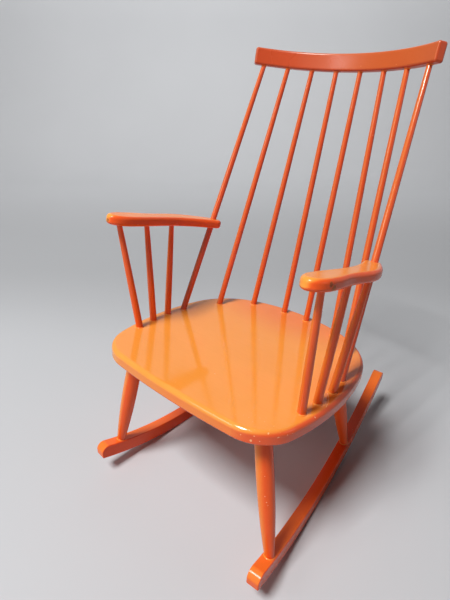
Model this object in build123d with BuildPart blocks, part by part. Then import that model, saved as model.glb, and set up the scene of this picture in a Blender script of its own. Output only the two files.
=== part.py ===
from build123d import *
from math import cos, degrees, radians, sin, sqrt
import os

os.makedirs("parts", exist_ok=True)

# A spindle-back rocking chair of turned wood, glued together. The front faces -Y, Z is up,
# and the floor is Z = 0. The chair stands as it comes to rest on its rockers, unloaded.
# Lengths are in millimetres and angles in degrees. One side is drawn and the other mirrored.

# Seat: one thick board, its top sloping down towards the back
seat_height = 381.5
seat_tilt = 5.9
seat_thickness = 31.0
seat_front = -350.0
seat_corner_x = 230.0
seat_corner_y = -336.0
seat_corner_round = 102.0
seat_side_x = 261.0
seat_side_y = 9.0
seat_shoulder_x = 135.0
seat_shoulder_y = 159.5
seat_rear = 184.0
seat_top_round = 10.0
seat_under_round = 6.0

# Rockers: planks cut to an arc, closer together at the back
rocker_offset = 227.5
rocker_toe_in = 3.9
rocker_radius = 847.5
rocker_rest_y = -58.5
rocker_half_length = 375.5
rocker_width = 28.5
rocker_depth = 37.5
rocker_top_nose = 17.0
rocker_under_nose = 5.0
rocker_edge_round = 2.0

# Legs: turned, fullest above the middle, tenoned into the seat and the rocker
leg_front_x = 184.0
leg_front_y = -273.0
foot_front_y = -308.0
leg_rear_x = 168.5
leg_rear_y = 66.0
foot_rear_y = 110.0
leg_top_diameter = 34.0
leg_belly_diameter = 37.5
leg_belly_drop = 115.0
leg_foot_diameter = 21.5
leg_seat_tenon_diameter = 24.0
leg_seat_tenon_depth = 20.0
leg_foot_tenon_diameter = 14.0
leg_foot_tenon_depth = 18.0

# Back spindles: each side has four, placed by their way along the seat's rim from the
# middle of the back and by their distance in from the rim
back_spindle_rim = (39.5, 147.0, 277.5, 410.0)
back_spindle_inset = (32.5, 32.0, 45.5, 28.0)
back_spindle_seat_diameter = 16.5
back_spindle_crest_diameter = 11.5

# Crest rail: a bent plank that leans back, with the spindles evenly spaced under it
crest_back_y = 277.0
crest_under_z = 984.3
crest_lean = 11.0
crest_radius = 352.0
crest_thickness = 21.0
crest_height = 38.0
crest_spindle_pitch = 61.5
crest_overhang = 25.5
crest_edge_round = 5.0
crest_tenon_depth = 20.0

# Arms: flat paddles that slope down to the back and roll a little inwards. The outer back
# spindle passes through them, and their outline is set out from that hole.
arm_under_z = 617.6
arm_drop = 13.4
arm_roll = 3.6
arm_thickness = 21.6
arm_length = 326.0
arm_nose_length = 46.0
arm_front_inner_x = -8.0
arm_front_outer_x = 45.5
arm_bulge_x = 46.0
arm_bulge_reach = 262.0
arm_waist_x = 43.0
arm_waist_reach = 203.0
arm_swell_x = 49.0
arm_swell_reach = 114.0
arm_bow_x = -1.0
arm_bow_reach = 140.0
arm_tail_x = -4.0
arm_tail_reach = -3.5
arm_tail_radius = 20.0
arm_tail_start = 22.0
arm_tail_end = 196.0
arm_top_round = 8.0
arm_under_round = 6.5

# Arm spindles: three on each side, from the seat's rim up into the arm
arm_spindle_rim = (580.5, 526.5, 468.0)
arm_spindle_inset = (25.5, 26.5, 24.5)
arm_spindle_reach = (289.0, 202.0, 115.0)
arm_spindle_x = (27.0, 33.5, 36.0)
arm_spindle_seat_diameter = 17.5
arm_spindle_top_diameter = 12.0
arm_tenon_depth = 12.0

# Glued fits: spindles go this deep into the seat, and every socket is wider by the gap
seat_tenon_depth = 18.0
glue_gap = 0.1

# Main planes

seat_plane = Plane(
    origin=(0, 0, seat_height),
    x_dir=(1, 0, 0),
    z_dir=(0, sin(radians(seat_tilt)), cos(radians(seat_tilt))),
)
under_plane = seat_plane.offset(-seat_thickness)
crest_plane = Plane(
    origin=(0, crest_back_y, crest_under_z),
    x_dir=(1, 0, 0),
    z_dir=(0, sin(radians(crest_lean)), cos(radians(crest_lean))),
)
arm_plane = Plane(
    origin=(0, 0, arm_under_z),
    x_dir=(1, 0, 0),
    z_dir=(0, sin(radians(arm_drop)), cos(radians(arm_drop))),
)
toe_sin = sin(radians(rocker_toe_in))
toe_cos = cos(radians(rocker_toe_in))
rocker_plane = Plane(
    origin=(rocker_offset, 0, 0),
    x_dir=(-toe_sin, toe_cos, 0),
    z_dir=(toe_cos, toe_sin, 0),
)
rocker_centre = Vector(rocker_rest_y / toe_cos, rocker_radius)

# Right half of the seat's outline: tangent arcs from the middle of the back to the front corner
with BuildLine() as seat_rim:
    rear_arc = TangentArc((0, seat_rear), (seat_shoulder_x, seat_shoulder_y), tangent=(1, 0))
    shoulder_arc = TangentArc(rear_arc @ 1, (seat_side_x, seat_side_y), tangent=rear_arc % 1)
    TangentArc(shoulder_arc @ 1, (seat_corner_x, seat_corner_y), tangent=shoulder_arc % 1)


def seat_point(along, inset):
    """A point of the seat's top, this far along the rim and this far in from it."""
    rim = seat_rim.wire()
    place = rim.position_at(along, position_mode=PositionMode.LENGTH)
    run = rim.tangent_at(along, position_mode=PositionMode.LENGTH)
    inward = Vector(run.Y, -run.X)
    return seat_plane.from_local_coords(place + inward * inset)


def crest_point(along):
    """A point on the middle line of the crest's underside, this far along it."""
    angle = along / crest_radius
    return crest_plane.from_local_coords(
        Vector(crest_radius * sin(angle), crest_radius * (cos(angle) - 1))
    )


def plane_point(plane, x, y):
    """The point of a plane straight above a place on the floor."""
    normal = plane.z_dir
    return Vector(x, y, (plane.origin - Vector(x, y)).dot(normal) / normal.Z)


def foot_point(y):
    """The point on the middle line of the right rocker's upper edge at this Y."""
    along = y / toe_cos
    inner_radius = rocker_radius - rocker_depth
    height = rocker_radius - sqrt(inner_radius**2 - (along - rocker_centre.X) ** 2)
    return rocker_plane.from_local_coords(Vector(along, height))


def crossing(plane, base, top):
    """The point where a line from base to top crosses a plane."""
    run = top - base
    share = (plane.origin - base).dot(plane.z_dir) / run.dot(plane.z_dir)
    return base + run * share


# Ends of the turned pieces on the right side: base first, then top
back_lines = [
    (seat_point(along, inset), crest_point((index + 0.5) * crest_spindle_pitch))
    for index, (along, inset) in enumerate(zip(back_spindle_rim, back_spindle_inset))
]
outer_base, outer_top = back_lines[-1]
arm_hole = crossing(arm_plane, outer_base, outer_top)
arm_frame = Plane(origin=arm_hole, x_dir=(1, 0, 0), z_dir=arm_plane.z_dir).rotated(
    (0, -arm_roll, 0)
)
arm_lines = [
    (seat_point(along, inset), arm_frame.from_local_coords(Vector(x, -reach)))
    for along, inset, x, reach in zip(
        arm_spindle_rim, arm_spindle_inset, arm_spindle_x, arm_spindle_reach
    )
]
leg_lines = [
    (foot_point(foot_front_y), plane_point(under_plane, leg_front_x, leg_front_y)),
    (foot_point(foot_rear_y), plane_point(under_plane, leg_rear_x, leg_rear_y)),
]


def rod_plane(base, top):
    """A sketch plane whose X axis runs along a turned piece."""
    run = top - base
    return Plane(origin=base, x_dir=run, z_dir=run.cross(Vector(1, 0, 0)))


def turned_spindle(base, top, base_diameter, top_diameter, base_depth, top_depth):
    """A spindle that curves in towards its top, with a plain tenon beyond either end."""
    length = (top - base).length
    with BuildPart() as rod:
        with BuildSketch(rod_plane(base, top)):
            with BuildLine():
                side = TangentArc(
                    (0, base_diameter / 2), (length, top_diameter / 2), tangent=(1, 0)
                )
                Polyline(
                    side @ 1,
                    (length + top_depth, top_diameter / 2),
                    (length + top_depth, 0),
                    (-base_depth, 0),
                    (-base_depth, base_diameter / 2),
                    side @ 0,
                )
            make_face()
        revolve(axis=Axis(base, top - base))
    return rod.part


def cut_socket(mouth, run, diameter, depth):
    """Cut a blind round hole from its mouth along run, a glue gap wider than the tenon."""
    overrun = diameter / 2
    with Locations(Plane(origin=mouth - run.normalized() * overrun, z_dir=run)):
        Cylinder(
            diameter / 2 + glue_gap,
            overrun + depth,
            align=(Align.CENTER, Align.CENTER, Align.MIN),
            mode=Mode.SUBTRACT,
        )


def both_sides(point):
    """The point and its twin across the middle of the chair."""
    return (point, Vector(-point.X, point.Y, point.Z))


def save(part, name):
    """Label a finished piece and write it to its own file."""
    part.label = name
    export_step(part, f"parts/{name}.step")


def save_pair(part, name):
    """Write the right-hand piece and its mirrored twin."""
    save(part, f"{name}_right")
    save(mirror(part, about=Plane.YZ), f"{name}_left")


# Seat
with BuildPart() as seat:
    with BuildSketch(seat_plane) as seat_outline:
        with BuildLine():
            add(seat_rim.line)
            TangentArc((0, seat_front), (seat_corner_x, seat_corner_y), tangent=(1, 0))
            mirror(about=Plane.YZ)
        make_face()
        fillet(seat_outline.vertices().group_by(Axis.Y)[0], seat_corner_round)
    extrude(amount=-seat_thickness)
    seat_faces = seat.faces().sort_by(Axis(seat_plane.origin, seat_plane.z_dir))
    fillet(seat_faces[-1].edges(), seat_top_round)
    fillet(seat_faces[0].edges(), seat_under_round)
    for base, top in back_lines:
        for mouth, end in zip(both_sides(base), both_sides(top)):
            cut_socket(mouth, mouth - end, back_spindle_seat_diameter, seat_tenon_depth)
    for base, top in arm_lines:
        for mouth, end in zip(both_sides(base), both_sides(top)):
            cut_socket(mouth, mouth - end, arm_spindle_seat_diameter, seat_tenon_depth)
    for foot, top in leg_lines:
        for mouth, end in zip(both_sides(top), both_sides(foot)):
            cut_socket(mouth, mouth - end, leg_seat_tenon_diameter, leg_seat_tenon_depth)
save(seat.part, "seat")

# Rockers
with BuildPart() as rocker:
    with BuildSketch(rocker_plane) as rocker_side:
        with Locations(rocker_centre):
            Circle(rocker_radius)
            Circle(rocker_radius - rocker_depth, mode=Mode.SUBTRACT)
        Rectangle(
            2 * rocker_half_length,
            rocker_radius,
            align=(Align.CENTER, Align.MIN),
            mode=Mode.INTERSECT,
        )
        ends = rocker_side.vertices().sort_by(Axis.X)
        fillet([end.sort_by(Axis.Y)[0] for end in (ends[:2], ends[-2:])], rocker_under_nose)
        ends = rocker_side.vertices().sort_by(Axis.X)
        fillet([end.sort_by(Axis.Y)[-1] for end in (ends[:3], ends[-3:])], rocker_top_nose)
    extrude(amount=rocker_width / 2, both=True)
    rocker_sides = rocker.faces().filter_by(Axis(rocker_plane.origin, rocker_plane.z_dir))
    fillet(rocker_sides.edges(), rocker_edge_round)
    for foot, top in leg_lines:
        cut_socket(foot, foot - top, leg_foot_tenon_diameter, leg_foot_tenon_depth)
save_pair(rocker.part, "rocker")


def turned_leg(foot, top):
    """A leg from the rocker's upper edge to the seat, its shoulders cut to both surfaces."""
    run = (top - foot).normalized()
    length = (top - foot).length
    spare = leg_top_diameter / 2
    with BuildPart() as leg:
        with BuildSketch(rod_plane(foot, top)):
            with BuildLine():
                Polyline(
                    (0, leg_foot_diameter / 2),
                    (-spare, leg_foot_diameter / 2),
                    (-spare, 0),
                    (length + spare, 0),
                    (length + spare, leg_top_diameter / 2),
                    (length, leg_top_diameter / 2),
                )
                belly = (length - leg_belly_drop, leg_belly_diameter / 2)
                TangentArc(belly, (0, leg_foot_diameter / 2), tangent=(-1, 0))
                TangentArc(belly, (length, leg_top_diameter / 2), tangent=(1, 0))
            make_face()
        revolve(axis=Axis(foot, run))
        split(bisect_by=under_plane.offset(-glue_gap), keep=Keep.BOTTOM)
        split(bisect_by=rocker_seating(foot).offset(glue_gap), keep=Keep.TOP)
        with Locations(Plane(origin=top - run * spare, z_dir=run)):
            Cylinder(
                leg_seat_tenon_diameter / 2,
                spare + leg_seat_tenon_depth,
                align=(Align.CENTER, Align.CENTER, Align.MIN),
            )
        with Locations(Plane(origin=foot + run * spare, z_dir=-run)):
            Cylinder(
                leg_foot_tenon_diameter / 2,
                spare + leg_foot_tenon_depth,
                align=(Align.CENTER, Align.CENTER, Align.MIN),
            )
    return leg.part


def rocker_seating(foot):
    """The plane that touches the rocker's upper edge at a foot, facing up."""
    return Plane(origin=foot, z_dir=rocker_plane.from_local_coords(rocker_centre) - foot)


# Legs
for name, (foot, top) in zip(("leg_front", "leg_rear"), leg_lines):
    save_pair(turned_leg(foot, top), name)

# Back spindles, numbered from the middle of the back outwards
for number, (base, top) in enumerate(back_lines, start=1):
    spindle = turned_spindle(
        base,
        top,
        back_spindle_seat_diameter,
        back_spindle_crest_diameter,
        seat_tenon_depth,
        crest_tenon_depth,
    )
    save_pair(spindle, f"back_spindle_{number}")

# Arm spindles, numbered from the front
for number, (base, top) in enumerate(arm_lines, start=1):
    spindle = turned_spindle(
        base,
        top,
        arm_spindle_seat_diameter,
        arm_spindle_top_diameter,
        seat_tenon_depth,
        arm_tenon_depth,
    )
    save_pair(spindle, f"arm_spindle_{number}")

# Crest rail
crest_half_angle = ((len(back_lines) - 0.5) * crest_spindle_pitch + crest_overhang) / crest_radius
with BuildPart() as crest:
    with BuildSketch(crest_plane):
        with BuildLine():
            CenterArc(
                (0, -crest_radius),
                crest_radius,
                90 - degrees(crest_half_angle),
                2 * degrees(crest_half_angle),
            )
        trace(line_width=crest_thickness)
    extrude(amount=crest_height)
    fillet(crest.edges(), crest_edge_round)
    for base, top in back_lines:
        for mouth, end in zip(both_sides(top), both_sides(base)):
            cut_socket(mouth, mouth - end, back_spindle_crest_diameter, crest_tenon_depth)
save(crest.part, "crest_rail")

# Arms
arm_nose_half = (arm_front_outer_x - arm_front_inner_x) / 2
with BuildPart() as arm:
    with BuildSketch(arm_frame):
        with BuildLine():
            tail = CenterArc(
                (arm_tail_x, -arm_tail_reach),
                arm_tail_radius,
                arm_tail_start,
                arm_tail_end - arm_tail_start,
            )
            nose = EllipticalCenterArc(
                (arm_front_inner_x + arm_nose_half, arm_nose_length - arm_length),
                arm_nose_half,
                arm_nose_length,
                start_angle=180,
                arc_size=180,
            )
            Spline(
                tail @ 1,
                (arm_bow_x, -arm_bow_reach),
                nose @ 0,
                tangents=(tail % 1, nose % 0),
            )
            Spline(
                nose @ 1,
                (arm_bulge_x, -arm_bulge_reach),
                (arm_waist_x, -arm_waist_reach),
                (arm_swell_x, -arm_swell_reach),
                tail @ 0,
                tangents=(nose % 1, tail % 0),
            )
        make_face()
    extrude(amount=arm_thickness)
    arm_faces = arm.faces().sort_by(Axis(arm_frame.origin, arm_frame.z_dir))
    fillet(arm_faces[-1].edges(), arm_top_round)
    fillet(arm_faces[0].edges(), arm_under_round)
    for base, top in arm_lines:
        cut_socket(top, top - base, arm_spindle_top_diameter, arm_tenon_depth)
    add(
        turned_spindle(
            outer_base,
            outer_top,
            back_spindle_seat_diameter + 2 * glue_gap,
            back_spindle_crest_diameter + 2 * glue_gap,
            seat_tenon_depth,
            crest_tenon_depth,
        ),
        mode=Mode.SUBTRACT,
    )
save_pair(arm.part, "arm")
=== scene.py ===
from math import radians, tau
from typing import NamedTuple

import bmesh
import bpy
from bpy.props import FloatProperty, FloatVectorProperty, IntProperty, PointerProperty
from mathutils import Matrix, Vector
from mathutils.bvhtree import BVHTree


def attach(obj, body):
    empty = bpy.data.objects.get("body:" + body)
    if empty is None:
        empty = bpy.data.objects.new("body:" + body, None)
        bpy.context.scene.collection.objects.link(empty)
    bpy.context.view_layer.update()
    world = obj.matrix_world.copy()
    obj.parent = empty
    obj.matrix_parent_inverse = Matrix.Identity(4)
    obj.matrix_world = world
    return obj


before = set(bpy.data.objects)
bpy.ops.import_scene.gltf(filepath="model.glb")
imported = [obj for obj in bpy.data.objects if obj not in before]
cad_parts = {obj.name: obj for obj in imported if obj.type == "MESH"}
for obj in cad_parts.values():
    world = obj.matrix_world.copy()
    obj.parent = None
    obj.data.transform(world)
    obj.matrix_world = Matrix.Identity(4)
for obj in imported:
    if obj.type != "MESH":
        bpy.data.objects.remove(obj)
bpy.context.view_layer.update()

bl_info = {
    "name": "Painted Rocking Chair",
    "version": (1, 0, 0),
    "blender": (4, 5, 0),
    "location": "View3D > Sidebar > Chair",
    "description": "Dresses a spindle-back rocking chair in worn gloss paint on a plain stage",
    "category": "Object",
}

BODY = "root"
SIDES = ("right", "left")

BACK_SPINDLES = [f"back_spindle_{number}_{side}" for number in (1, 2, 3, 4) for side in SIDES]
ARM_SPINDLES = [f"arm_spindle_{number}_{side}" for number in (1, 2, 3) for side in SIDES]
ARMS = [f"arm_{side}" for side in SIDES]
LEGS = [f"leg_{end}_{side}" for end in ("front", "rear") for side in SIDES]
ROCKERS = [f"rocker_{side}" for side in SIDES]


class Noise(NamedTuple):
    """A cloudy noise: its cells per metre and the number of finer layers in it."""

    cells: float
    detail: float


class Step(NamedTuple):
    """A smooth step: the value where it is 0 and the value where it is 1."""

    zero: float
    one: float


# The grain of a piece: noises are drawn out along it.
ALONG_X = (0.06, 1.0, 1.0)
ALONG_Y = (1.0, 0.06, 1.0)
ALONG_Z = (1.0, 1.0, 0.06)

# The noises in the paint. The brush marks and the ripples follow the grain.
CLOUDS = Noise(cells=9.0, detail=3.0)
BRUSH_MARKS = Noise(cells=320.0, detail=3.0)
RIPPLES = Noise(cells=70.0, detail=1.0)
PITTING = Noise(cells=240.0, detail=1.0)
FRAYING = Noise(cells=700.0, detail=2.0)

# Painted light: faces turned towards this side, where the lamps stand, are painted paler and
# yellower. Then how far the clouds shift that, and how square to that side a face has to be.
PAINTED_LIGHT_SIDE = (-0.55, -0.45, 0.70)
CLOUD_SHIFT = 0.25
PAINTED_LIGHT_STEP = Step(zero=0.35, one=0.85)
# The soft edge of a part with painted shade, in shares of its half sizes.
PAINTED_SHADE_STEP = Step(zero=1.25, one=0.35)

# How the clouds and the brush marks tint the paint.
CLOUD_STEP = Step(zero=0.35, one=0.75)
CLOUD_TINT = 0.30
STREAK_STEP = Step(zero=0.42, one=0.72)
STREAK_TINT = 0.12

# Specks: one in some of many small cells, picked by the cell's own random number.
SPECK_CELLS = 260.0
SPECK_SIZE_STEP = Step(zero=0.26, one=0.14)
SPECK_PICK_STEP = Step(zero=0.993, one=0.998)
SPECK_STRENGTH = 0.7
WORN_EDGE_PICK = 0.10

# The edge of a chip or a knock, in shares of its half sizes, and how far it frays in metres.
SPOT_STEP = Step(zero=1.15, one=0.75)
FRAY_REACH = 0.004
NOISE_MIDDLE = 0.5
KNOCK_STRENGTH = 0.8

# The thin pale line on the seat: its half width, its soft edge and its strength.
PALE_LINE_HALF_WIDTH = 0.0007
PALE_LINE_STEP = Step(zero=1.3 * PALE_LINE_HALF_WIDTH, one=0.6 * PALE_LINE_HALF_WIDTH)
PALE_LINE_STRENGTH = 0.8

# What clouds and worn places add to the roughness.
CLOUD_ROUGHNESS = 0.08
WORN_ROUGHNESS = 0.35

# The shares of the paint's relief, and the height in metres that they stand for.
RIPPLE_SHARE = 0.55
PITTING_SHARE = 0.20
BRUSH_SHARE = 0.25
WORN_SHARE = -1.5
RELIEF_HEIGHT = 0.0006
PAINT_IOR = 1.5

# Chips down to the pale undercoat: centre and half sizes in metres.
SEAT_CHIPS = (
    ((0.1992, -0.3326, 0.3955), (0.0019, 0.0019, 0.0030)),
    ((0.1812, -0.3391, 0.4025), (0.0010, 0.0010, 0.0012)),
    ((0.2036, -0.3291, 0.4064), (0.0010, 0.0010, 0.0010)),
    ((0.2124, -0.3243, 0.3963), (0.0010, 0.0010, 0.0012)),
    ((0.2213, -0.3113, 0.4110), (0.0013, 0.0013, 0.0018)),
    ((0.2359, -0.3005, 0.4021), (0.0020, 0.0020, 0.0008)),
    ((0.2451, -0.2845, 0.4024), (0.0010, 0.0010, 0.0010)),
    ((0.2492, -0.2745, 0.4012), (0.0010, 0.0010, 0.0009)),
    ((0.2601, -0.2112, 0.4007), (0.0013, 0.0013, 0.0013)),
    ((0.0350, -0.2416, 0.4068), (0.0010, 0.0010, 0.0016)),
)
LEG_CHIPS = (
    ((0.2226, -0.3056, 0.2393), (0.0008, 0.0008, 0.0012)),
    ((0.2281, -0.3051, 0.2258), (0.0010, 0.0010, 0.0015)),
    ((0.2309, -0.3048, 0.2189), (0.0008, 0.0008, 0.0011)),
    ((0.2149, -0.2995, 0.2845), (0.0008, 0.0008, 0.0011)),
)
# Knocks down to the bare wood.
ARM_KNOCKS = (
    ((0.2661, -0.2438, 0.6923), (0.0055, 0.0040, 0.0050)),
    ((0.2680, -0.2356, 0.6831), (0.0060, 0.0060, 0.0060)),
    ((0.2440, 0.0420, 0.6330), (0.0040, 0.0040, 0.0045)),
    ((-0.2416, -0.2753, 0.6927), (0.0040, 0.0030, 0.0050)),
)
# A thin pale curved line near the right edge of the seat, in the undercoat colour, as straight
# lengths.
SEAT_PALE_LINE = (
    ((0.2427, -0.1264, 0.3946), (0.2520, -0.1400, 0.3960)),
    ((0.2520, -0.1400, 0.3960), (0.2574, -0.1538, 0.3974)),
    ((0.2574, -0.1538, 0.3974), (0.2610, -0.1690, 0.3985)),
)
# The part of the seat's edge where small specks gather.
WORN_EDGE = (((0.215, -0.315, 0.401), (0.075, 0.060, 0.022)),)
# Painted shade: the parts of the seat that the back and the right arm shade keep the deeper,
# redder colour.
SEAT_PAINTED_SHADE = (
    ((0.00, 0.19, 0.39), (0.36, 0.17, 0.10)),
    ((0.30, -0.03, 0.39), (0.12, 0.22, 0.10)),
)
# Painted shade: the part of both rockers that the seat shades keeps the deeper, redder colour.
ROCKER_PAINTED_SHADE = (((0.00, 0.08, 0.04), (0.60, 0.34, 0.20)),)


class Coat(NamedTuple):
    """How one kind of piece is painted and worn.

    The painted light scale brightens or darkens this piece's copy of the paint for how much
    light the piece gets: above 1 it is painted light, below 1 painted shade. The tone is how
    far the whole piece has turned from the deep to the faded colour, and the lit side paleness
    is painted light that the faces turned to the lamps add to it; the painted shade share is
    the share of both that the painted shade spots take back, so that they stay deep. The
    gloss is the strength of the reflections, 0.5 for new paint, the dulling is added to their
    roughness, and the relief is how plainly ripples and brush marks stand out.
    """

    grain: tuple
    painted_light_scale: float
    tone: float
    fade: float
    gloss: float
    dulling: float
    relief: float
    chips: tuple = ()
    knocks: tuple = ()
    pale_lines: tuple = ()
    worn_edge: tuple = ()
    painted_shade_spots: tuple = ()
    painted_shade_share: float = 0.0


# In every coat below, the first brightness number is painted light above 1 and painted shade below
# 1, set for how much light that piece gets.
SEAT_COAT = Coat(
    grain=ALONG_X,
    painted_light_scale=0.96,
    tone=0.06,
    fade=0.94,
    gloss=0.55,
    dulling=-0.06,
    relief=0.07,
    chips=SEAT_CHIPS,
    pale_lines=SEAT_PALE_LINE,
    worn_edge=WORN_EDGE,
    painted_shade_spots=SEAT_PAINTED_SHADE,
    painted_shade_share=0.45,
)
CREST_COAT = Coat(
    grain=ALONG_X,
    painted_light_scale=0.62,
    tone=0.05,
    fade=0.24,
    gloss=0.55,
    dulling=0.14,
    relief=0.05,
)
BACK_SPINDLE_COAT = Coat(
    grain=ALONG_Z,
    painted_light_scale=0.78,
    tone=0.02,
    fade=0.36,
    gloss=0.6,
    dulling=0.0,
    relief=0.02,
)
ARM_SPINDLE_COAT = Coat(
    grain=ALONG_Z,
    painted_light_scale=0.95,
    tone=0.10,
    fade=0.40,
    gloss=0.35,
    dulling=0.0,
    relief=0.02,
)
ARM_COAT = Coat(
    grain=ALONG_Y,
    painted_light_scale=1.03,
    tone=0.05,
    fade=0.90,
    gloss=0.3,
    dulling=0.08,
    relief=0.04,
    knocks=ARM_KNOCKS,
)
LEG_COAT = Coat(
    grain=ALONG_Z,
    painted_light_scale=1.02,
    tone=0.07,
    fade=0.60,
    gloss=0.25,
    dulling=0.04,
    relief=0.03,
    chips=LEG_CHIPS,
)
ROCKER_COAT = Coat(
    grain=ALONG_Y,
    painted_light_scale=1.04,
    tone=0.0,
    fade=0.48,
    gloss=0.3,
    dulling=0.04,
    relief=0.06,
    painted_shade_spots=ROCKER_PAINTED_SHADE,
    painted_shade_share=0.90,
)
BEAD_COAT = Coat(
    grain=ALONG_Z,
    painted_light_scale=1.0,
    tone=0.40,
    fade=0.40,
    gloss=0.5,
    dulling=0.0,
    relief=0.02,
)

# The radii in metres of the turned pieces where they enter the others.
BACK_SPINDLE_AT_SEAT = 0.0083
BACK_SPINDLE_AT_CREST = 0.0058
ARM_SPINDLE_AT_SEAT = 0.0088
ARM_SPINDLE_AT_ARM = 0.0061
LEG_AT_SEAT = 0.0172
LEG_AT_ROCKER = 0.0109

# Probing for a bead, in metres: the depth of the slice that counts as a rod's end face, the
# distance from the rod at which the corner is sought, and where the ray to the rod starts.
END_FACE_DEPTH = 0.0004
END_FACE_PASSES = 3
CORNER_GAP = 0.0008
PROBE_REACH = 0.02
# The bead's section, in metres: its edges sink in, and its hidden root lies in both pieces.
# Where the surface ends too near to the rod, the foot is narrow.
EDGE_SINK = 0.0002
ROOT_SINK = 0.0006
ROOT_INSET = 0.0014
NARROW_FOOT = 0.0006
FAR_FOOT_WIDTHS = 2
# The waist between wall and foot is pulled in towards the corner.
WAIST_TO_CORNER = 0.40
WAIST_TO_WALL = 0.30
WAIST_TO_FOOT = 0.30

# The paper of the floor and the backdrop, with painted shade: a darker band across the floor
# behind the chair.
PAPER_CLOUDS = Noise(cells=1.2, detail=2.0)
PAPER_UNEVENNESS = 0.94
SHADE_BAND_TONE = 0.76
SHADE_BAND_START = Step(zero=0.4, one=1.3)
SHADE_BAND_END = Step(zero=1.7, one=3.6)
PAPER_ROUGHNESS = 0.8
SWEEP_RADIUS = 1.6
SWEEP_SEGMENTS = 24

WHITE = (1.0, 1.0, 1.0, 1.0)
PICTURE_HEIGHT_MM = 36.0

# The sockets of a Mix node that blend colours.
MIX_FACTOR = 0
MIX_FIRST_COLOUR = 6
MIX_SECOND_COLOUR = 7
MIX_COLOUR_OUT = 2


class Lamp(NamedTuple):
    """A soft lamp: where it hangs, what it looks at, and its width and height in metres."""

    name: str
    place: tuple
    target: tuple
    width: float
    height: float


CHAIR_MIDDLE = (0.0, -0.10, 0.39)
BACK_MIDDLE = (0.0, 0.15, 0.85)
KEY_LAMP = Lamp("key_lamp", (-0.40, -3.00, 5.60), CHAIR_MIDDLE, 1.4, 1.5)
WINDOW_LAMP = Lamp("window_lamp", (-1.25, -2.80, 2.45), BACK_MIDDLE, 0.8, 0.8)
FRONT_LAMP = Lamp("front_lamp", (-0.85, -3.50, 1.40), CHAIR_MIDDLE, 1.2, 1.2)
SIDE_LAMP = Lamp("side_lamp", (3.80, 1.00, 2.20), CHAIR_MIDDLE, 1.5, 1.5)
# This one turns with the camera, as the backdrop does.
BACKDROP_LAMP = Lamp("backdrop_lamp", (0.0, 1.3, 4.5), (0.0, 5.0, 4.1), 6.0, 1.2)
NO_TURN = Matrix.Identity(4)


class Signal:
    """A shader socket that takes part in sums: every operator adds one Math node."""

    def __init__(self, finish, socket):
        self.finish = finish
        self.socket = socket

    def _math(self, operation, first, second):
        return self.finish.node("ShaderNodeMath", {"operation": operation}, {0: first, 1: second})

    def __add__(self, other):
        return self._math("ADD", self, other)

    def __radd__(self, other):
        return self._math("ADD", other, self)

    def __rsub__(self, other):
        return self._math("SUBTRACT", other, self)

    def __mul__(self, other):
        return self._math("MULTIPLY", self, other)

    def __rmul__(self, other):
        return self._math("MULTIPLY", other, self)

    def __or__(self, other):
        return self._math("MAXIMUM", self, other)


class Nodes:
    """A node tree in the making, started empty."""

    def __init__(self, tree):
        self.tree = tree
        self.tree.nodes.clear()

    def node(self, kind, settings=None, inputs=None, output=0):
        """Add a node, set it up, feed its sockets and hand back one of its outputs."""
        node = self.tree.nodes.new(kind)
        for key, value in (settings or {}).items():
            setattr(node, key, value)
        for key, value in (inputs or {}).items():
            if isinstance(value, Signal):
                self.tree.links.new(value.socket, node.inputs[key])
            else:
                node.inputs[key].default_value = value
        return Signal(self, node.outputs[output]) if node.outputs else None


class Finish(Nodes):
    """A node material in the making."""

    def __init__(self, name):
        self.material = bpy.data.materials.new(name)
        self.material.use_nodes = True
        super().__init__(self.material.node_tree)

    def noise(self, place, noise, output="Fac"):
        """One of the listed noises."""
        inputs = {"Vector": place, "Scale": noise.cells, "Detail": noise.detail}
        return self.node("ShaderNodeTexNoise", None, inputs, output)

    def ramp(self, value, step):
        """A smooth step."""
        return self.node(
            "ShaderNodeMapRange",
            {"interpolation_type": "SMOOTHSTEP"},
            {"Value": value, "From Min": step.zero, "From Max": step.one},
        )

    def vector(self, operation, first, second, output=0):
        """One step of vector maths."""
        settings = {"operation": operation}
        return self.node("ShaderNodeVectorMath", settings, {0: first, 1: second}, output)

    def mix(self, factor, first, second, blend="MIX"):
        """A blend of two colours, by the colour sockets among the node's many."""
        settings = {"data_type": "RGBA", "blend_type": blend}
        inputs = {MIX_FACTOR: factor, MIX_FIRST_COLOUR: first, MIX_SECOND_COLOUR: second}
        return self.node("ShaderNodeMix", settings, inputs, MIX_COLOUR_OUT)

    def spots(self, place, ellipsoids, step):
        """A mask that is 1 inside any of the listed ellipsoids, with a soft edge."""
        mask = None
        for centre, halves in ellipsoids:
            offset = self.vector("SUBTRACT", place, centre)
            shares = self.vector("DIVIDE", offset, halves)
            radius = self.vector("LENGTH", shares, (0.0, 0.0, 0.0), "Value")
            spot = self.ramp(radius, step)
            mask = spot if mask is None else mask | spot
        return mask

    def pale_lines(self, place, lengths):
        """A mask that is 1 close to any of the listed straight lengths."""
        mask = None
        for start, end in lengths:
            run = Vector(end) - Vector(start)
            offset = self.vector("SUBTRACT", place, start)
            share = self.vector("DOT_PRODUCT", offset, tuple(run / run.length_squared), "Value")
            share = self.node("ShaderNodeClamp", None, {"Value": share})
            along = self.node(
                "ShaderNodeVectorMath", {"operation": "SCALE"}, {0: tuple(run), "Scale": share}
            )
            distance = self.vector("DISTANCE", offset, along, "Value")
            line = self.ramp(distance, PALE_LINE_STEP)
            mask = line if mask is None else mask | line
        return mask

    def close(self, shader):
        """Join the finished shader to the material's output."""
        self.node("ShaderNodeOutputMaterial", None, {"Surface": shader})
        return self.material


def rgba(colour):
    """A colour with full opacity."""
    return (*colour, 1.0)


def scaled(colour, share):
    """A colour made brighter or darker."""
    return tuple(share * channel for channel in colour)


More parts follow.
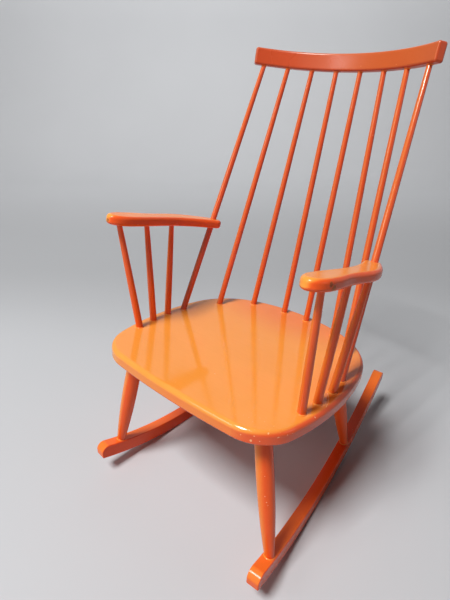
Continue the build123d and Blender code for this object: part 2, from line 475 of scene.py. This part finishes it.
def colour_with_painted_light(finish, place, clouds, paint, coat):
    """The paint's colour between deep and faded, with painted light on faces turned to the lamps
    and painted shade on parts that other pieces shade.
    """
    normal = finish.node("ShaderNodeNewGeometry", None, None, "Normal")
    # Painted light: faces turned towards the lamps get paler, yellower paint.
    facing = finish.vector("DOT_PRODUCT", normal, PAINTED_LIGHT_SIDE, "Value")
    faded_and_lit = coat.tone + coat.fade * finish.ramp(facing + CLOUD_SHIFT * clouds, PAINTED_LIGHT_STEP)
    # Painted shade: parts that other pieces shade take back most of the paler colour and stay
    # deep.
    if coat.painted_shade_spots:
        shaded = finish.spots(place, coat.painted_shade_spots, PAINTED_SHADE_STEP)
        faded_and_lit = faded_and_lit * (1.0 - coat.painted_shade_share * shaded)
    # Painted light and shade: each piece's copy of the paint is made brighter or darker for how
    # much light it gets.
    deep = scaled(paint.deep_colour, coat.painted_light_scale)
    light = scaled(paint.faded_and_lit_colour, coat.painted_light_scale)
    return finish.mix(faded_and_lit, rgba(deep), rgba(light))


def frayed_place(finish, place):
    """The place shifted by a fine noise, so that what is drawn there has rough edges."""
    jitter = finish.noise(place, FRAYING, "Color")
    shift = finish.vector("SUBTRACT", jitter, (NOISE_MIDDLE,) * 3)
    shift = finish.vector("MULTIPLY", shift, (FRAY_REACH,) * 3)
    return finish.vector("ADD", place, shift)


def undercoat_mask(finish, place, frayed, coat):
    """Where the paint is gone down to the undercoat in specks and chips, with a thin pale line in
    the same colour.
    """
    cells = {"Vector": frayed, "Scale": SPECK_CELLS}
    size = finish.node("ShaderNodeTexVoronoi", None, cells, "Distance")
    pick = finish.node("ShaderNodeTexVoronoi", None, cells, "Color")
    pick = finish.node("ShaderNodeSeparateColor", None, {"Color": pick}, "Red")
    if coat.worn_edge:
        pick = pick + WORN_EDGE_PICK * finish.spots(place, coat.worn_edge, SPOT_STEP)
    mask = SPECK_STRENGTH * finish.ramp(size, SPECK_SIZE_STEP) * finish.ramp(pick, SPECK_PICK_STEP)
    if coat.chips:
        mask = mask | finish.spots(frayed, coat.chips, SPOT_STEP)
    if coat.pale_lines:
        mask = mask | PALE_LINE_STRENGTH * finish.pale_lines(place, coat.pale_lines)
    return mask


def gloss_paint(name, paint, coat):
    """Old gloss paint over wood: painted light on the side turned to the lamps, brushed along the
    grain, chipped.
    """
    finish = Finish(name)
    place = finish.node("ShaderNodeTexCoord", None, None, "Object")
    along_grain = finish.node("ShaderNodeMapping", None, {"Vector": place, "Scale": coat.grain})
    clouds = finish.noise(place, CLOUDS)
    brush = finish.noise(along_grain, BRUSH_MARKS)
    ripple = finish.noise(along_grain, RIPPLES)
    pitting = finish.noise(place, PITTING)
    frayed = frayed_place(finish, place)

    tint = rgba(paint.shade_colour)
    uneven = finish.ramp(clouds, CLOUD_STEP)
    streaks = finish.ramp(brush, STREAK_STEP)
    colour = colour_with_painted_light(finish, place, clouds, paint, coat)
    colour = finish.mix(CLOUD_TINT * uneven, colour, tint, "MULTIPLY")
    colour = finish.mix(STREAK_TINT * streaks, colour, tint, "MULTIPLY")

    worn = undercoat_mask(finish, place, frayed, coat)
    colour = finish.mix(worn, colour, rgba(paint.chip_colour))
    if coat.knocks:
        bare = finish.spots(frayed, coat.knocks, SPOT_STEP)
        wood = finish.mix(streaks, rgba(paint.wood_colour), rgba(paint.wood_dark_colour))
        colour = finish.mix(KNOCK_STRENGTH * bare, colour, wood)
        worn = worn | bare

    roughness = paint.gloss_roughness + coat.dulling
    roughness = roughness + CLOUD_ROUGHNESS * uneven + WORN_ROUGHNESS * worn
    height = RIPPLE_SHARE * ripple + PITTING_SHARE * pitting
    height = height + BRUSH_SHARE * brush + WORN_SHARE * worn
    bump = finish.node(
        "ShaderNodeBump",
        None,
        {"Strength": coat.relief, "Distance": RELIEF_HEIGHT, "Height": height},
    )
    shader = finish.node(
        "ShaderNodeBsdfPrincipled",
        None,
        {
            "Base Color": colour,
            "Roughness": roughness,
            "Normal": bump,
            "IOR": PAINT_IOR,
            "Specular IOR Level": coat.gloss,
        },
    )
    return finish.close(shader)


def dress(names, material):
    """Give CAD nodes a finish."""
    for name in names:
        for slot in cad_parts[name].material_slots:
            slot.material = material


def surface(name):
    """A node's surface, ready for probing with rays."""
    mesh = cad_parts[name].data
    points = [vertex.co for vertex in mesh.vertices]
    return BVHTree.FromPolygons(points, [tuple(face.vertices) for face in mesh.polygons])


def middle(points):
    """The centre of the points' box."""
    lows = [min(point[axis] for point in points) for axis in range(3)]
    highs = [max(point[axis] for point in points) for axis in range(3)]
    return (Vector(lows) + Vector(highs)) / 2


def rod_ends(name):
    """The centres of a turned piece's lower and upper end faces."""
    points = [vertex.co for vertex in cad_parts[name].data.vertices]
    low = min(points, key=lambda point: point.z)
    high = max(points, key=lambda point: point.z)
    for _ in range(END_FACE_PASSES):
        axis = (high - low).normalized()
        heights = [point.dot(axis) for point in points]
        bottom = min(heights) + END_FACE_DEPTH
        top = max(heights) - END_FACE_DEPTH
        low = middle([point for point, height in zip(points, heights) if height < bottom])
        high = middle([point for point, height in zip(points, heights) if height > top])
    return low, high


def hit_or_fail(tree, start, direction, what):
    """Where a ray meets a surface."""
    place = tree.ray_cast(start, direction)[0]
    if place is None:
        raise RuntimeError(f"no surface found for the bead at {what}")
    return place


def ring_edges(loop):
    """The edges of a closed loop of corners."""
    ring = set(loop)
    edges = dict.fromkeys(edge for vertex in loop for edge in vertex.link_edges)
    return [edge for edge in edges if ring.issuperset(edge.verts)]


def lay_bead(mesh, rod, host, upwards, radius, settings):
    """A ring of pooled paint in the corner where a turned piece enters another."""
    low, high = rod_ends(rod)
    centre = (low + high) / 2
    axis = (high - low).normalized() * (1 if upwards else -1)
    side = axis.orthogonal().normalized()
    rod_surface = surface(rod)
    host_surface = surface(host)
    segments = settings.segments
    width = settings.width
    loops = [
        bmesh.ops.create_circle(mesh, segments=segments, radius=radius, cap_ends=False)["verts"]
        for _ in range(4)
    ]
    wall_loop, waist_loop, foot_loop, root_loop = loops
    for step in range(segments):
        out = Matrix.Rotation(tau * step / segments, 3, axis) @ side
        beside_rod = centre + out * (radius + CORNER_GAP)
        corner = hit_or_fail(host_surface, beside_rod, axis, f"{rod} and {host}")
        off_rod = corner - axis * width + out * PROBE_REACH
        wall = hit_or_fail(rod_surface, off_rod, -out, rod)
        foot = host_surface.ray_cast(centre + out * (radius + width), axis)[0]
        if foot is None or (foot - corner).length > FAR_FOOT_WIDTHS * width:
            foot = corner + out * NARROW_FOOT
        waist = corner * WAIST_TO_CORNER + wall * WAIST_TO_WALL + foot * WAIST_TO_FOOT
        wall_loop[step].co = wall - out * EDGE_SINK
        waist_loop[step].co = waist
        foot_loop[step].co = foot + axis * EDGE_SINK
        root_loop[step].co = corner + axis * ROOT_SINK - out * ROOT_INSET
    for first, second in zip(loops, loops[1:] + loops[:1]):
        bmesh.ops.bridge_loops(mesh, edges=ring_edges(first) + ring_edges(second))


def bead_piece(name, joints, settings, material):
    """One mesh piece that holds the paint beads of a group of joints."""
    mesh = bmesh.new()
    for rod, host, upwards, radius in joints:
        lay_bead(mesh, rod, host, upwards, radius, settings)
    bmesh.ops.recalc_face_normals(mesh, faces=mesh.faces)
    for face in mesh.faces:
        face.smooth = True
    data = bpy.data.meshes.new(name)
    mesh.to_mesh(data)
    mesh.free()
    data.materials.append(material)
    piece = bpy.data.objects.new(name, data)
    bpy.context.scene.collection.objects.link(piece)
    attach(piece, BODY)


def side_of(rod):
    """The side that a turned piece's name ends with."""
    return rod.rsplit("_", 1)[1]


def paper(name, colour, away):
    """Matt paper, faintly uneven, with a painted shade band that is darker at some distance away
    from the camera.
    """
    finish = Finish(name)
    place = finish.node("ShaderNodeTexCoord", None, None, "Object")
    clouds = finish.noise(place, PAPER_CLOUDS)
    tint = finish.mix(clouds, rgba(colour), rgba(scaled(colour, PAPER_UNEVENNESS)))
    distance = finish.vector("DOT_PRODUCT", place, tuple(away), "Value")
    # Painted shade: the paper is darker in a band across the floor behind the chair.
    band = finish.ramp(distance, SHADE_BAND_START) * (1.0 - finish.ramp(distance, SHADE_BAND_END))
    tint = finish.mix(band, tint, rgba(scaled(colour, SHADE_BAND_TONE)))
    inputs = {"Base Color": tint, "Roughness": PAPER_ROUGHNESS}
    return finish.close(finish.node("ShaderNodeBsdfPrincipled", None, inputs))


def lay_floor(stage, turn):
    """A sheet of paper that is the floor and curves up into the backdrop."""
    sheet = bmesh.new()
    bmesh.ops.create_grid(sheet, x_segments=1, y_segments=1, size=stage.floor_reach)
    far = [edge for edge in sheet.edges if all(vertex.co.y > 0 for vertex in edge.verts)]
    wall = bmesh.ops.extrude_edge_only(sheet, edges=far)["geom"]
    wall = [item for item in wall if isinstance(item, bmesh.types.BMVert)]
    bmesh.ops.translate(sheet, verts=wall, vec=(0.0, 0.0, stage.backdrop_height))
    crease = [edge for edge in sheet.edges if len(edge.link_faces) == 2]
    bmesh.ops.bevel(
        sheet,
        geom=crease,
        offset=SWEEP_RADIUS,
        affect="EDGES",
        segments=SWEEP_SEGMENTS,
        profile=0.5,
        material=-1,
    )
    bmesh.ops.transform(sheet, matrix=turn, verts=sheet.verts)
    for face in sheet.faces:
        face.smooth = True
    data = bpy.data.meshes.new("floor_sheet")
    sheet.to_mesh(data)
    sheet.free()
    data.materials.append(paper("floor_paper", stage.floor_colour, turn.col[1].xyz))
    floor = bpy.data.objects.new("floor_sheet", data)
    bpy.context.scene.collection.objects.link(floor)


def hang_lamp(lamp, power, turn=NO_TURN):
    """Hang a lamp so that its width lies level."""
    place = turn @ Vector(lamp.place)
    target = turn @ Vector(lamp.target)
    data = bpy.data.lights.new(lamp.name, "AREA")
    data.shape = "RECTANGLE"
    data.size = lamp.width
    data.size_y = lamp.height
    data.energy = power
    item = bpy.data.objects.new(lamp.name, data)
    bpy.context.scene.collection.objects.link(item)
    item.location = place
    item.rotation_euler = (target - place).to_track_quat("-Z", "Y").to_euler()


def light_room(stage):
    """Faint light from all round, in a room that looks pale to the camera and in the gloss."""
    world = bpy.data.worlds.new("studio_air")
    world.use_nodes = True
    air = Nodes(world.node_tree)
    camera_ray = air.node("ShaderNodeLightPath", None, None, "Is Camera Ray")
    glossy_ray = air.node("ShaderNodeLightPath", None, None, "Is Glossy Ray")
    clear_ray = air.node("ShaderNodeLightPath", None, None, "Is Transmission Ray")
    seen = camera_ray | glossy_ray | clear_ray
    strength = stage.air_light + (stage.room_light - stage.air_light) * seen
    glow = air.node("ShaderNodeBackground", None, {"Color": WHITE, "Strength": strength})
    air.node("ShaderNodeOutputWorld", None, {"Surface": glow})
    bpy.context.scene.world = world


def stand_camera(stage, turn):
    """The camera at the right of the chair's front, looking down at it."""
    data = bpy.data.cameras.new("front_right_camera")
    data.lens = stage.lens
    data.sensor_width = PICTURE_HEIGHT_MM
    camera = bpy.data.objects.new("front_right_camera", data)
    bpy.context.scene.collection.objects.link(camera)
    upright = Matrix.Rotation(radians(90) - stage.camera_drop, 4, "X")
    roll = Matrix.Rotation(stage.camera_roll, 4, "Z")
    camera.matrix_world = Matrix.Translation(stage.camera_place) @ turn @ upright @ roll
    bpy.context.scene.camera = camera


class ChairPaint(bpy.types.PropertyGroup):
    """Colours and gloss of the paint."""

    # This colour is also what the painted shade keeps.
    deep_colour: FloatVectorProperty(
        name="Deep colour",
        description="Paint where light has not faded it",
        subtype="COLOR",
        default=(0.86, 0.085, 0.012),
        min=0.0,
        max=1.0,
    )
    # This colour is also the painted light on faces turned towards the lamps.
    faded_and_lit_colour: FloatVectorProperty(
        name="Faded colour",
        description="Paint on the faces that look up or to the window",
        subtype="COLOR",
        default=(0.92, 0.34, 0.048),
        min=0.0,
        max=1.0,
    )
    shade_colour: FloatVectorProperty(
        name="Uneven tint",
        description="Tint of the clouds and brush marks in the paint",
        subtype="COLOR",
        default=(0.86, 0.66, 0.55),
        min=0.0,
        max=1.0,
    )
    chip_colour: FloatVectorProperty(
        name="Chip colour",
        description="Undercoat that shows where the paint is chipped",
        subtype="COLOR",
        default=(0.95, 0.48, 0.22),
        min=0.0,
        max=1.0,
    )
    wood_colour: FloatVectorProperty(
        name="Bare wood",
        description="Wood that shows where the paint is knocked off",
        subtype="COLOR",
        default=(0.40, 0.13, 0.032),
        min=0.0,
        max=1.0,
    )
    wood_dark_colour: FloatVectorProperty(
        name="Bare wood grain",
        description="Darker lines in the bare wood",
        subtype="COLOR",
        default=(0.20, 0.055, 0.016),
        min=0.0,
        max=1.0,
    )
    gloss_roughness: FloatProperty(
        name="Roughness",
        description="Roughness of the paint before a piece's own dulling",
        subtype="FACTOR",
        default=0.13,
        min=0.0,
        max=1.0,
    )


class ChairBeads(bpy.types.PropertyGroup):
    """Size of the pooled paint at the joints."""

    width: FloatProperty(
        name="Bead width",
        description="How far the pooled paint reaches from the corner of a joint",
        unit="LENGTH",
        default=0.0022,
        min=0.0005,
        max=0.006,
    )
    segments: IntProperty(
        name="Bead segments",
        description="Corners of each ring of pooled paint",
        default=32,
        min=8,
        max=96,
    )


class ChairStage(bpy.types.PropertyGroup):
    """Floor, lights and camera."""

    floor_colour: FloatVectorProperty(
        name="Floor colour",
        description="Colour of the floor and the backdrop",
        subtype="COLOR",
        default=(0.552, 0.560, 0.576),
        min=0.0,
        max=1.0,
    )
    floor_reach: FloatProperty(
        name="Floor reach",
        description="Distance from the chair to the backdrop and to the sides of the floor",
        unit="LENGTH",
        default=5.0,
    )
    backdrop_height: FloatProperty(
        name="Backdrop height",
        description="Height of the backdrop",
        unit="LENGTH",
        default=4.5,
    )
    key_power: FloatProperty(
        name="Key lamp",
        description="Power of the main lamp, high in front of the chair and a little to the left",
        unit="POWER",
        default=418.0,
    )
    window_power: FloatProperty(
        name="Window lamp",
        description="Power of the small lamp in front on the left, which shows in the gloss",
        unit="POWER",
        default=12.0,
    )
    front_power: FloatProperty(
        name="Front lamp",
        description="Power of the low lamp in front of the chair",
        unit="POWER",
        default=4.0,
    )
    side_power: FloatProperty(
        name="Side lamp",
        description="Power of the lamp on the right, a little behind the chair",
        unit="POWER",
        default=6.0,
    )
    wall_power: FloatProperty(
        name="Backdrop lamp",
        description="Power of the wide lamp that lights the backdrop",
        unit="POWER",
        default=180.0,
    )
    air_light: FloatProperty(
        name="Air light",
        description="Strength of the even light from all round",
        default=0.01,
        min=0.0,
    )
    room_light: FloatProperty(
        name="Room brightness",
        description="How bright the room beyond the backdrop looks, also in the gloss",
        default=0.45,
        min=0.0,
    )
    camera_place: FloatVectorProperty(
        name="Camera place",
        description="Where the camera stands",
        subtype="TRANSLATION",
        unit="LENGTH",
        default=(0.499904, -0.780703, 0.957834),
    )
    camera_turn: FloatProperty(
        name="Camera turn",
        description="How far the camera stands round to the right of the chair's front",
        subtype="ANGLE",
        default=radians(39.286),
    )
    camera_drop: FloatProperty(
        name="Camera drop",
        description="How far the camera looks down",
        subtype="ANGLE",
        default=radians(27.688),
    )
    camera_roll: FloatProperty(
        name="Camera roll",
        description="How far the camera leans to one side",
        subtype="ANGLE",
        default=radians(1.225),
    )
    lens: FloatProperty(
        name="Lens",
        description="Focal length for a 36 mm picture height",
        unit="CAMERA",
        default=24.92,
    )


class CHAIR_OT_paint_seat(bpy.types.Operator):
    """Paint the seat board"""

    bl_idname = "chair.paint_seat"
    bl_label = "Paint seat"

    def execute(self, context):
        paint = context.scene.chair_paint
        dress(["seat"], gloss_paint("seat_paint", paint, SEAT_COAT))
        return {"FINISHED"}


class CHAIR_OT_paint_back(bpy.types.Operator):
    """Paint the crest rail and the back spindles"""

    bl_idname = "chair.paint_back"
    bl_label = "Paint back"

    def execute(self, context):
        paint = context.scene.chair_paint
        dress(["crest_rail"], gloss_paint("crest_paint", paint, CREST_COAT))
        dress(BACK_SPINDLES, gloss_paint("back_spindle_paint", paint, BACK_SPINDLE_COAT))
        return {"FINISHED"}


class CHAIR_OT_paint_arms(bpy.types.Operator):
    """Paint the arms and their spindles"""

    bl_idname = "chair.paint_arms"
    bl_label = "Paint arms"

    def execute(self, context):
        paint = context.scene.chair_paint
        dress(ARMS, gloss_paint("arm_paint", paint, ARM_COAT))
        dress(ARM_SPINDLES, gloss_paint("arm_spindle_paint", paint, ARM_SPINDLE_COAT))
        return {"FINISHED"}


class CHAIR_OT_paint_base(bpy.types.Operator):
    """Paint the legs and the rockers"""

    bl_idname = "chair.paint_base"
    bl_label = "Paint legs and rockers"

    def execute(self, context):
        paint = context.scene.chair_paint
        dress(LEGS, gloss_paint("leg_paint", paint, LEG_COAT))
        dress(ROCKERS, gloss_paint("rocker_paint", paint, ROCKER_COAT))
        return {"FINISHED"}


class CHAIR_OT_lay_beads(bpy.types.Operator):
    """Lay the pooled paint round every joint"""

    bl_idname = "chair.lay_beads"
    bl_label = "Lay paint beads"

    def execute(self, context):
        settings = context.scene.chair_beads
        paint = gloss_paint("bead_paint", context.scene.chair_paint, BEAD_COAT)
        seat = [(rod, "seat", False, BACK_SPINDLE_AT_SEAT) for rod in BACK_SPINDLES]
        seat += [(rod, "seat", False, ARM_SPINDLE_AT_SEAT) for rod in ARM_SPINDLES]
        bead_piece("seat_beads", seat, settings, paint)
        crest = [(rod, "crest_rail", True, BACK_SPINDLE_AT_CREST) for rod in BACK_SPINDLES]
        bead_piece("crest_beads", crest, settings, paint)
        arm = [(rod, f"arm_{side_of(rod)}", True, ARM_SPINDLE_AT_ARM) for rod in ARM_SPINDLES]
        bead_piece("arm_beads", arm, settings, paint)
        leg = [(rod, "seat", True, LEG_AT_SEAT) for rod in LEGS]
        leg += [(rod, f"rocker_{side_of(rod)}", False, LEG_AT_ROCKER) for rod in LEGS]
        bead_piece("leg_beads", leg, settings, paint)
        return {"FINISHED"}


class CHAIR_OT_set_stage(bpy.types.Operator):
    """Set the floor, the lamps and the camera"""

    bl_idname = "chair.set_stage"
    bl_label = "Set stage"

    def execute(self, context):
        stage = context.scene.chair_stage
        context.scene.view_settings.view_transform = "Standard"
        turn = Matrix.Rotation(stage.camera_turn, 4, "Z")
        lay_floor(stage, turn)
        hang_lamp(KEY_LAMP, stage.key_power)
        hang_lamp(WINDOW_LAMP, stage.window_power)
        hang_lamp(FRONT_LAMP, stage.front_power)
        hang_lamp(SIDE_LAMP, stage.side_power)
        hang_lamp(BACKDROP_LAMP, stage.wall_power, turn)
        light_room(stage)
        stand_camera(stage, turn)
        return {"FINISHED"}


class CHAIR_PT_panel(bpy.types.Panel):
    """Lists the settings and the steps that dress the chair"""

    bl_idname = "CHAIR_PT_panel"
    bl_label = "Painted Rocking Chair"
    bl_space_type = "VIEW_3D"
    bl_region_type = "UI"
    bl_category = "Chair"

    def draw(self, context):
        layout = self.layout
        scene = context.scene
        for settings in (scene.chair_paint, scene.chair_beads, scene.chair_stage):
            column = layout.column()
            for key in settings.__annotations__:
                column.prop(settings, key)
        for operator in OPERATORS:
            layout.operator(operator.bl_idname)


OPERATORS = (
    CHAIR_OT_paint_seat,
    CHAIR_OT_paint_back,
    CHAIR_OT_paint_arms,
    CHAIR_OT_paint_base,
    CHAIR_OT_lay_beads,
    CHAIR_OT_set_stage,
)
CLASSES = (ChairPaint, ChairBeads, ChairStage, *OPERATORS, CHAIR_PT_panel)


def register():
    for item in CLASSES:
        bpy.utils.register_class(item)
    bpy.types.Scene.chair_paint = PointerProperty(type=ChairPaint)
    bpy.types.Scene.chair_beads = PointerProperty(type=ChairBeads)
    bpy.types.Scene.chair_stage = PointerProperty(type=ChairStage)


def unregister():
    del bpy.types.Scene.chair_stage
    del bpy.types.Scene.chair_beads
    del bpy.types.Scene.chair_paint
    for item in reversed(CLASSES):
        bpy.utils.unregister_class(item)


def main():
    register()
    bpy.ops.chair.paint_seat()
    bpy.ops.chair.paint_back()
    bpy.ops.chair.paint_arms()
    bpy.ops.chair.paint_base()
    bpy.ops.chair.lay_beads()
    bpy.ops.chair.set_stage()


if __name__ == "__main__":
    main()
